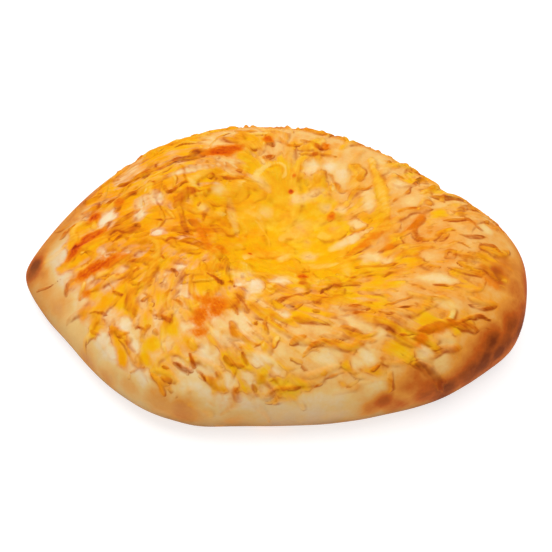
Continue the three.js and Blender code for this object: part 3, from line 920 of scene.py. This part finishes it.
WIDEST_MARGIN = 0.3
WALL_BLEND = 0.09
CRUST_MOTTLE = [(0.3, 16, DRAW_TONE), (0.25, 6, DRAW_TONE + 20)]
MOTTLE_SHOWN, MOTTLE_ON_WALL = 0.4, 0.5
CHEESE_PATCHES = [(0.9, 13, DRAW_COVER + 40), (0.7, 5, DRAW_COVER + 60)]
CHEESE_ON_SHEET = 0.4
SHEET_MARGIN = (-4, 14)
CHEESE_FADE = 0.04
CHEESE_MARGIN = 0.02
PALE_HEIGHTS = (6, 18)
POOL_UNEVENNESS = [(0.5, 15, DRAW_COVER + 80), (0.5, 6, DRAW_COVER + 90)]
POOL_DEPTHS = (0.25, 1.1)
ORANGE_PATCHES = [(0.4, 11, DRAW_SKIP)]
POOL_YELLOWER = 0.8
STREAK_TURN = 55
STREAK_REACH = 60
STREAK_MIDDLE = 8


def share_out(points):
    """The share of the way out to the loaf's widest line, and 1 on the wall below that line."""
    x, y, z = points.T
    widest = clock(WALL_MIDDLE, np.arctan2(y, x)) * RIM_HEIGHT
    return np.where(z < widest - WIDEST_MARGIN, 1, share_of_reach(x, y))


def crust_tone(points):
    """Browning of the dough: by the clock, on its top and down its wall."""
    x, y, z = points.T
    bearing = np.arctan2(y, x)
    start = clock(WALL_START, bearing)
    wall = ease(start, start + WALL_BLEND, share_out(points))
    mottle = swellings(CRUST_MOTTLE, x, y, z) * (MOTTLE_SHOWN + MOTTLE_ON_WALL * wall)
    top = clock(TOP_BROWN, bearing) * (1 - wall)
    return top + wall * clock(WALL_BROWN, bearing) + mottle


def cheese_cover(points):
    """How much melted cheese lies on the surface."""
    x, y, _ = points.T
    bearing = np.arctan2(y, x)
    cover = clock(CHEESE_COVER, bearing) + swellings(CHEESE_PATCHES, x, y)
    cover = cover + CHEESE_ON_SHEET * ease(*SHEET_MARGIN, inside_sheet(x, y))
    edge = clock(CHEESE_EDGE, bearing)
    return cover * (1 - ease(edge - CHEESE_FADE, edge, share_of_reach(x, y)))


def past_cheese(points):
    """1 on the wall past the edge of the cheese."""
    edge = clock(CHEESE_EDGE, np.arctan2(points[:, 1], points[:, 0]))
    return ease(edge - CHEESE_MARGIN, edge + CHEESE_MARGIN, share_out(points))


def wall_pale(points):
    """Where the wall is pale above its foot, by the clock."""
    x, y, z = points.T
    return clock(WALL_PALE, np.arctan2(y, x)) * past_cheese(points) * ease(*PALE_HEIGHTS, z)


def pool(points):
    """From 0 on the rim to 1 in the deep of the dip."""
    x, y, _ = points.T
    return ease(*POOL_DEPTHS, dip(x, y) / DIP_DEPTH + swellings(POOL_UNEVENNESS, x, y))


def orange(points):
    """How deep the cheese's colour is, by the clock."""
    x, y, z = points.T
    deep = clock(CHEESE_ORANGE, np.arctan2(y, x)) + swellings(ORANGE_PATCHES, x, y, z)
    return np.clip(deep, 0, 1) * (1 - POOL_YELLOWER * pool(points))


def flow(points):
    """Places along and across the way that the shreds lie, in millimetres, for streaks that follow it."""
    x, y, z = points.T
    dx, dy = from_dip(x, y)
    away, bearing = np.hypot(dx, dy), np.arctan2(dy, dx)
    turn = np.radians(np.minimum(STREAK_TURN, clock(SHRED_TURN, bearing)))
    swirled = bearing - np.tan(turn) * np.log((away + STREAK_MIDDLE) / STREAK_REACH)
    return np.stack([STREAK_REACH * np.cos(swirled), STREAK_REACH * np.sin(swirled), away + z], -1)


# How ragged the spots are, and how much they change the bake
RAGGED, ROUND = 0.8, 0.4
DARKER_CRUST_TONE = 0.45
BARE_TONE = 0.6
BARE_MELT = 0.7
BARE_POOL = 0.5
BARE_RIM = 0.3
PALE_POOL = (0.05, 0.5)


class Marks:
    """The spots that the photograph shows, and the bake that they give a surface."""

    def __init__(self, tree):
        self.bare = Spots(tree, BARE_SPOTS + spots_along(BARE_STREAKS), RAGGED)
        self.yellow = Spots(tree, YELLOW_SPOTS, RAGGED)
        self.darker_crust = Spots(tree, DARKER_CRUST_SPOTS, ROUND)
        self.scorched = Spots(tree, SCORCHED_SPOTS + spots_along(SCORCHED_STREAKS), RAGGED)

    def layers(self, points, bare):
        """How dark the crust is, where cheese has melted and the cheese is deep in colour, and the spots.
        """
        depth = pool(points)
        tone = crust_tone(points) * (1 - BARE_TONE * bare) + DARKER_CRUST_TONE * self.darker_crust.at(points)
        melt = np.clip(cheese_cover(warped(points)) - BARE_MELT * bare, 0, 1)
        melt += depth * (1 - BARE_POOL * bare)
        melt -= BARE_RIM * bare * (1 - depth) + past_cheese(points)
        pale = np.maximum(bare * ease(*PALE_POOL, depth), wall_pale(points))
        return {
            "bake": np.stack([np.clip(tone, 0, 1), melt, orange(points)], -1),
            "spots": np.stack([pale, self.scorched.at(points), self.yellow.at(points)], -1),
        }


# Finishes

def colour(red, green, blue):
    """A colour for a shader from values of 0 to 255 as a screen shows them."""
    def linear(value):
        value /= 255
        return value / 12.92 if value <= 0.04045 else ((value + 0.055) / 1.055) ** 2.4
    return (linear(red), linear(green), linear(blue), 1)


class Value:
    """A number that changes over a surface. Sums with it add nodes to its finish."""

    def __init__(self, finish, socket):
        self.finish = finish
        self.socket = socket

    def sum(self, operation, *others):
        inputs = {i: other for i, other in enumerate(others)}
        return self.finish.node("ShaderNodeMath", {"operation": operation}, inputs)

    def __add__(self, other):
        return self.sum("ADD", self, other)

    def __radd__(self, other):
        return self.sum("ADD", other, self)

    def __sub__(self, other):
        return self.sum("SUBTRACT", self, other)

    def __rsub__(self, other):
        return self.sum("SUBTRACT", other, self)

    def __mul__(self, other):
        return self.sum("MULTIPLY", self, other)

    def __rmul__(self, other):
        return self.sum("MULTIPLY", other, self)

    def __abs__(self):
        return self.sum("ABSOLUTE", self)

    def eased(self, low, high):
        settings = {"interpolation_type": "SMOOTHSTEP"}
        inputs = {"Value": self, "From Min": low, "From Max": high}
        return self.finish.node("ShaderNodeMapRange", settings, inputs)


# Sockets of a node that mixes two colours
MIX_FACTOR, MIX_FIRST, MIX_SECOND, MIX_RESULT = 0, 6, 7, 2

# How fine the noise is, and where streaks take over from grains on the way out, in millimetres
NOISE_DETAIL = 2.0
POOL_END = (42.0, 62.0)
RIM_START = (70.0, 95.0)
SLOPE_STREAK = 1.8


def set_stops(elements, stops):
    """A ramp's tints and where along it they stand."""
    while len(elements) < len(stops):
        elements.new(1.0)
    for element, (position, tint) in zip(elements, stops):
        element.position = position
        element.color = tint


class Finish:
    """A material under way: its nodes, and the shader that they feed."""

    def __init__(self, name):
        self.material = bpy.data.materials.new(name)
        self.material.use_nodes = True
        self.tree = self.material.node_tree
        self.shader = self.tree.nodes["Principled BSDF"]

    def connect(self, socket, value):
        if isinstance(value, Value):
            self.tree.links.new(value.socket, socket)
        else:
            socket.default_value = value

    def node(self, kind, settings=None, inputs=None, output=0):
        node = self.tree.nodes.new(kind)
        for setting, value in (settings or {}).items():
            if setting == "color_ramp":
                set_stops(node.color_ramp.elements, value)
            else:
                setattr(node, setting, value)
        for name, value in (inputs or {}).items():
            self.connect(node.inputs[name], value)
        return Value(self, node.outputs[output])

    def set(self, **inputs):
        for name, value in inputs.items():
            self.connect(self.shader.inputs[name.replace("_", " ")], value)

    def speckle(self, size, detail=NOISE_DETAIL):
        """Noise from 0 to 1 with grains of a size in millimetres."""
        place = self.node("ShaderNodeTexCoord", output="Object")
        inputs = {"Vector": place, "Scale": 1 / (size * MM), "Detail": detail}
        return self.node("ShaderNodeTexNoise", {}, inputs)

    def height(self):
        """Height above what the loaf rests on, in millimetres."""
        place = self.node("ShaderNodeTexCoord", output="Object")
        return self.node("ShaderNodeSeparateXYZ", {}, {0: place}, "Z") * (1 / MM)

    def streak(self, width, length):
        """Noise from 0 to 1 drawn out along the way that the shreds lie."""
        way = self.node("ShaderNodeAttribute", {"attribute_name": "flow"}, output="Vector")
        stretch = (1 / width, 1 / width, 1 / length)
        scaled = self.node("ShaderNodeVectorMath", {"operation": "MULTIPLY"}, {0: way, 1: stretch})
        return self.node("ShaderNodeTexNoise", {}, {"Vector": scaled, "Scale": 1.0, "Detail": NOISE_DETAIL})

    def drawn_out(self, size, width, length):
        """Noise from -0.5 to 0.5: round grains of a size in the pool, streaks beyond it."""
        out = self.layer("flow")[2]
        past_pool = out.eased(*POOL_END)
        on_rim = out.eased(*RIM_START)
        slope = self.streak(SLOPE_STREAK * width, length)
        streaks = slope * (1 - on_rim) + self.streak(width, length) * on_rim
        return self.speckle(size) * (1 - past_pool) + streaks * past_pool - 0.5

    def layer(self, name):
        vector = self.node("ShaderNodeAttribute", {"attribute_name": name}, output="Vector")
        return [self.node("ShaderNodeSeparateXYZ", {}, {0: vector}, axis) for axis in range(3)]

    def mix(self, factor, first, second, blend="MIX"):
        settings = {"data_type": "RGBA", "blend_type": blend}
        inputs = {MIX_FACTOR: factor, MIX_FIRST: first, MIX_SECOND: second}
        return self.node("ShaderNodeMix", settings, inputs, MIX_RESULT)

    def ramp(self, factor, stops):
        return self.node("ShaderNodeValToRGB", {"color_ramp": stops}, {"Fac": factor})

    def bump(self, height, distance):
        inputs = {"Height": height, "Distance": distance * MM, "Strength": 1.0}
        return self.node("ShaderNodeBump", {}, inputs)


CRUST_TINTS = [
    (0.0, colour(250, 232, 196)),
    (0.25, colour(247, 202, 124)),
    (0.5, colour(238, 155, 58)),
    (0.75, colour(203, 95, 22)),
    (1.0, colour(128, 54, 12)),
]
CHEESE_TINTS = [
    (0.0, colour(250, 202, 54)),
    (0.3, colour(248, 184, 6)),
    (0.6, colour(251, 164, 0)),
    (1.0, colour(232, 110, 0)),
]
SHRED_TINTS = [
    (0.0, colour(254, 212, 116)),
    (0.25, colour(252, 184, 48)),
    (0.5, colour(240, 148, 14)),
    (0.75, colour(214, 106, 8)),
    (1.0, colour(158, 64, 4)),
]
# Painted shade: a dull grey-brown low on the wall, and a dark contact line along the foot
FOOT_SHADE_TINT = colour(166, 106, 60)
CONTACT_SHADE_TINT = colour(96, 50, 22)
PALE_TINT = colour(248, 212, 140)
# Darker lines along shreds and cheese: browned edges, with painted shade on the shreds' shaded sides
SHADE_AND_OUTLINE_TINT = colour(196, 126, 60)
SINGE_TINT = colour(240, 128, 0)
SCORCH_TINT = colour(214, 70, 0)
CHAR_TINT = colour(160, 42, 0)


# Grains and streaks of the bake, and heights of the painted shade at the loaf's foot, in millimetres
COARSE_GRAIN, FINE_GRAIN, BROKEN_GRAIN, OUTLINE_GRAIN = 5.0, 1.2, 6.0, 4.5
STRAND_GRAINS = (3.0, 1.3, 8.0)
LOBE_GRAINS = (8.0, 4.6, 13.0)
FOOT_SHADE_HEIGHTS, FOOT_SHADE_WAVE = (2.0, 29.0), 5.0
CONTACT_SHADE_HEIGHTS, CONTACT_SHADE_WAVE = (2.0, 12.0), 4.0
BUMP_HEIGHT = 0.3
GLOW_DEPTH = 2.0

# Where one look of the bake passes into another
DEEP_MELT = (0.9, 1.9)
FLOODED = (-0.28, 0.24)
FLOOD_MARGIN = (-0.05, 0.2)
# Painted shade: darker lines along the shaded sides of the shreds
SHADED_RIND_INSIDE, SHADED_RIND_OUTSIDE = (0.35, 0.9), (0.9, 1.6)
SHADED_RIND_SIDES = (-0.6, 0.8)
SHADED_RIND_BROKEN = (0.45, 0.85)
OUTLINE_WIDTH, OUTLINE_BROKEN = (0.0, 0.08), (0.45, 0.7)
SINGED, SCORCHED, CHARRED = (0.0, 0.6), (0.4, 0.9), (0.8, 1.2)
DRY_ROUGHNESS = 0.7


class Bake(Finish):
    """Baked dough with cheese and shreds melted into it. The plain numbers in its sums are how much
    each layer tells, set against the photograph."""

    def __init__(self, name, sheen):
        super().__init__(name)
        self.tone, self.melt, self.orange_wash = self.layer("bake")
        self.cover, self.browning, self.crisp = self.layer("shred")
        self.pale, self.scorch, self.yellow = self.layer("spots")
        self.coarse = self.speckle(COARSE_GRAIN) - 0.5
        self.fine = self.speckle(FINE_GRAIN) - 0.5
        self.strands = self.drawn_out(*STRAND_GRAINS)
        self.deep = self.melt.eased(*DEEP_MELT)
        self.level = self.cheese_level()
        self.flood = self.level.eased(*FLOODED)
        top = self.mix(self.flood, self.crust(), self.cheese())
        top = self.mix(self.pale * (0.8 + self.coarse), top, PALE_TINT)
        top = self.with_shreds(top)
        # Painted shade along the shreds' shaded sides, and browned outlines, multiplied in
        top = self.mix(self.lines(), top, SHADE_AND_OUTLINE_TINT, "MULTIPLY")
        self.set(
            Base_Color=self.with_scorches(top),
            Roughness=DRY_ROUGHNESS - sheen * self.flood,
            Subsurface_Weight=0.1,
            Subsurface_Radius=(1.0, 0.5, 0.2),
            Subsurface_Scale=GLOW_DEPTH * MM,
            Specular_IOR_Level=0.05,
            Normal=self.bump(self.roughened(), BUMP_HEIGHT),
        )

    def cheese_level(self):
        """How high the cheese stands over the crust: it shows from about 0 up."""
        laid = 0.45 * (self.melt - 0.5) + 0.27 * self.yellow + 0.12 * self.cover
        return laid + self.drawn_out(*LOBE_GRAINS) + 0.2 * self.coarse + 0.08 * self.fine

    def crust(self):
        """The dough's tint, with painted shade: duller down to its foot, and a dark line along the foot."""
        crust = self.ramp(self.tone + 0.22 * self.coarse + 0.1 * self.fine, CRUST_TINTS)
        # Painted shade, growing down to the foot
        low = 1 - (self.height() + FOOT_SHADE_WAVE * self.coarse).eased(*FOOT_SHADE_HEIGHTS)
        crust = self.mix(low * (0.85 - 0.7 * self.tone), crust, FOOT_SHADE_TINT)
        # Painted contact shade: a dark line along the foot, stronger where the crust is browner
        contact_shade = 1 - (self.height() + CONTACT_SHADE_WAVE * self.coarse).eased(*CONTACT_SHADE_HEIGHTS)
        return self.mix(contact_shade * (0.25 + 0.7 * self.tone), crust, CONTACT_SHADE_TINT)

    def cheese(self):
        margin = 1 - self.level.eased(*FLOOD_MARGIN)
        depth = 0.2 + 0.7 * self.coarse + 0.4 * self.strands + 0.6 * self.orange_wash
        return self.ramp(depth + 0.3 * margin + 0.14 * self.deep, CHEESE_TINTS)

    def with_shreds(self, top):
        browning = self.browning + 0.4 * self.coarse + 0.5 * self.strands + 0.2 * self.orange_wash
        shown = self.cover * (1 + 0.6 * self.strands + 1.4 * self.coarse) * (1 - 0.5 * self.deep)
        return self.mix(shown, top, self.ramp(browning, SHRED_TINTS))

    def lines(self):
        """Broken darker lines, partly browned edges and partly painted shade: along the sides of the
        shreds, most on the side away from the light, and round the melted cheese.
        """
        apart, shaded, _ = self.layer("edge")
        apart = apart + 0.3 * self.fine + 0.4 * self.coarse
        # Painted shade, strongest on the side away from the light
        shaded_rind = apart.eased(*SHADED_RIND_INSIDE) * (1 - apart.eased(*SHADED_RIND_OUTSIDE)) * shaded.eased(*SHADED_RIND_SIDES)
        broken = (self.speckle(BROKEN_GRAIN) + 0.4 * self.crisp).eased(*SHADED_RIND_BROKEN)
        outline = 1 - abs(self.level).eased(*OUTLINE_WIDTH)
        outline = outline * self.speckle(OUTLINE_GRAIN).eased(*OUTLINE_BROKEN)
        return shaded_rind * broken * (0.88 - 0.35 * self.deep) + outline * 0.45

    def with_scorches(self, top):
        burn = self.scorch * (1 + 0.8 * self.fine + 1.1 * self.coarse + 0.8 * self.strands)
        top = self.mix(burn.eased(*SINGED), top, SINGE_TINT)
        top = self.mix(burn.eased(*SCORCHED) * 0.85, top, SCORCH_TINT)
        return self.mix(burn.eased(*CHARRED), top, CHAR_TINT)

    def roughened(self):
        return self.coarse * 0.6 + self.fine * 0.4 + self.strands * 0.4 + self.flood * 0.1


# The stage

FLOOR_HALF = 3000
FLOOR_TINT = (0.55, 0.55, 0.55, 1)
FLOOR_ROUGHNESS = 0.9
FLOOR_GLOW = 0.7
WHITE = (1, 1, 1, 1)
SURROUND = 0.33

# Lamps: where they hang and how wide they are, in millimetres, and their power
LAMPS = {
    "key": ((-500, 250, 900), 600, 3.35),
    "overhead": ((150, 100, 1000), 1000, 6.1),
}


def floor_finish():
    finish = Finish("pale_floor")
    finish.set(
        Base_Color=FLOOR_TINT,
        Roughness=FLOOR_ROUGHNESS,
        Emission_Color=WHITE,
        Emission_Strength=FLOOR_GLOW,
    )
    return finish.material


def add_floor():
    half = FLOOR_HALF * MM
    corners = [(-half, -half, 0), (half, -half, 0), (half, half, 0), (-half, half, 0)]
    mesh = bpy.data.meshes.new("floor")
    mesh.from_pydata(corners, [], [(0, 1, 2, 3)])
    mesh.materials.append(floor_finish())
    floor = bpy.data.objects.new("floor", mesh)
    bpy.context.scene.collection.objects.link(floor)


def add_light(name, place, size, power):
    light = bpy.data.objects.new(name, bpy.data.lights.new(name, "AREA"))
    light.data.size = size * MM
    light.data.energy = power
    light.location = Vector(place) * MM
    light.rotation_euler = Vector(place).to_track_quat("Z", "Y").to_euler()
    bpy.context.scene.collection.objects.link(light)


def add_studio():
    add_floor()
    for name, (place, size, power) in LAMPS.items():
        add_light(name, place, size, power)
    world = bpy.data.worlds.new("studio")
    world.use_nodes = True
    backdrop = world.node_tree.nodes["Background"]
    backdrop.inputs["Color"].default_value = WHITE
    backdrop.inputs["Strength"].default_value = SURROUND
    bpy.context.scene.world = world
    bpy.context.scene.view_settings.view_transform = "Standard"


# The pieces

FOOT_CLEAR = (1, 5)
CRUST_SHEEN = 0.16
CHEESE_SHEEN = 0.26


def dress(shape, name, node, sheen, marks, shreds):
    """A shape with the shreds raised in it, shown in place of its node."""
    relief = Relief(shape.points, shreds)
    bare = marks.bare.at(shape.points)
    relief.thin(bare)
    layers = {"flow": flow(shape.points)} | marks.layers(shape.points, bare) | relief.layers()
    above = ease(*FOOT_CLEAR, shape.points[:, 2])
    shape.points = shape.points + shape.normals() * (relief.rise * above)[:, None]
    piece = shape.piece(name, layers)
    piece.data.materials.append(Bake(name + "_finish", sheen).material)
    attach(piece, "root")
    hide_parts(node)


def main():
    add_camera()
    dough = dough_shape()
    sheet = sheet_shape()
    ground = tree_of(dough, sheet)
    marks = Marks(ground)
    shreds = strewn(ground, FLECKS) + strewn(ground, SHORT_SHREDS) + strewn(ground, THREADS)
    shreds += long_shreds(ground) + edge_crumbs(ground) + seen_shreds(ground)
    dress(dough, "baked_dough", "dough", CRUST_SHEEN, marks, shreds)
    dress(sheet, "cheese_sheet", "melted_cheese", CHEESE_SHEEN, marks, shreds)
    add_studio()


main()
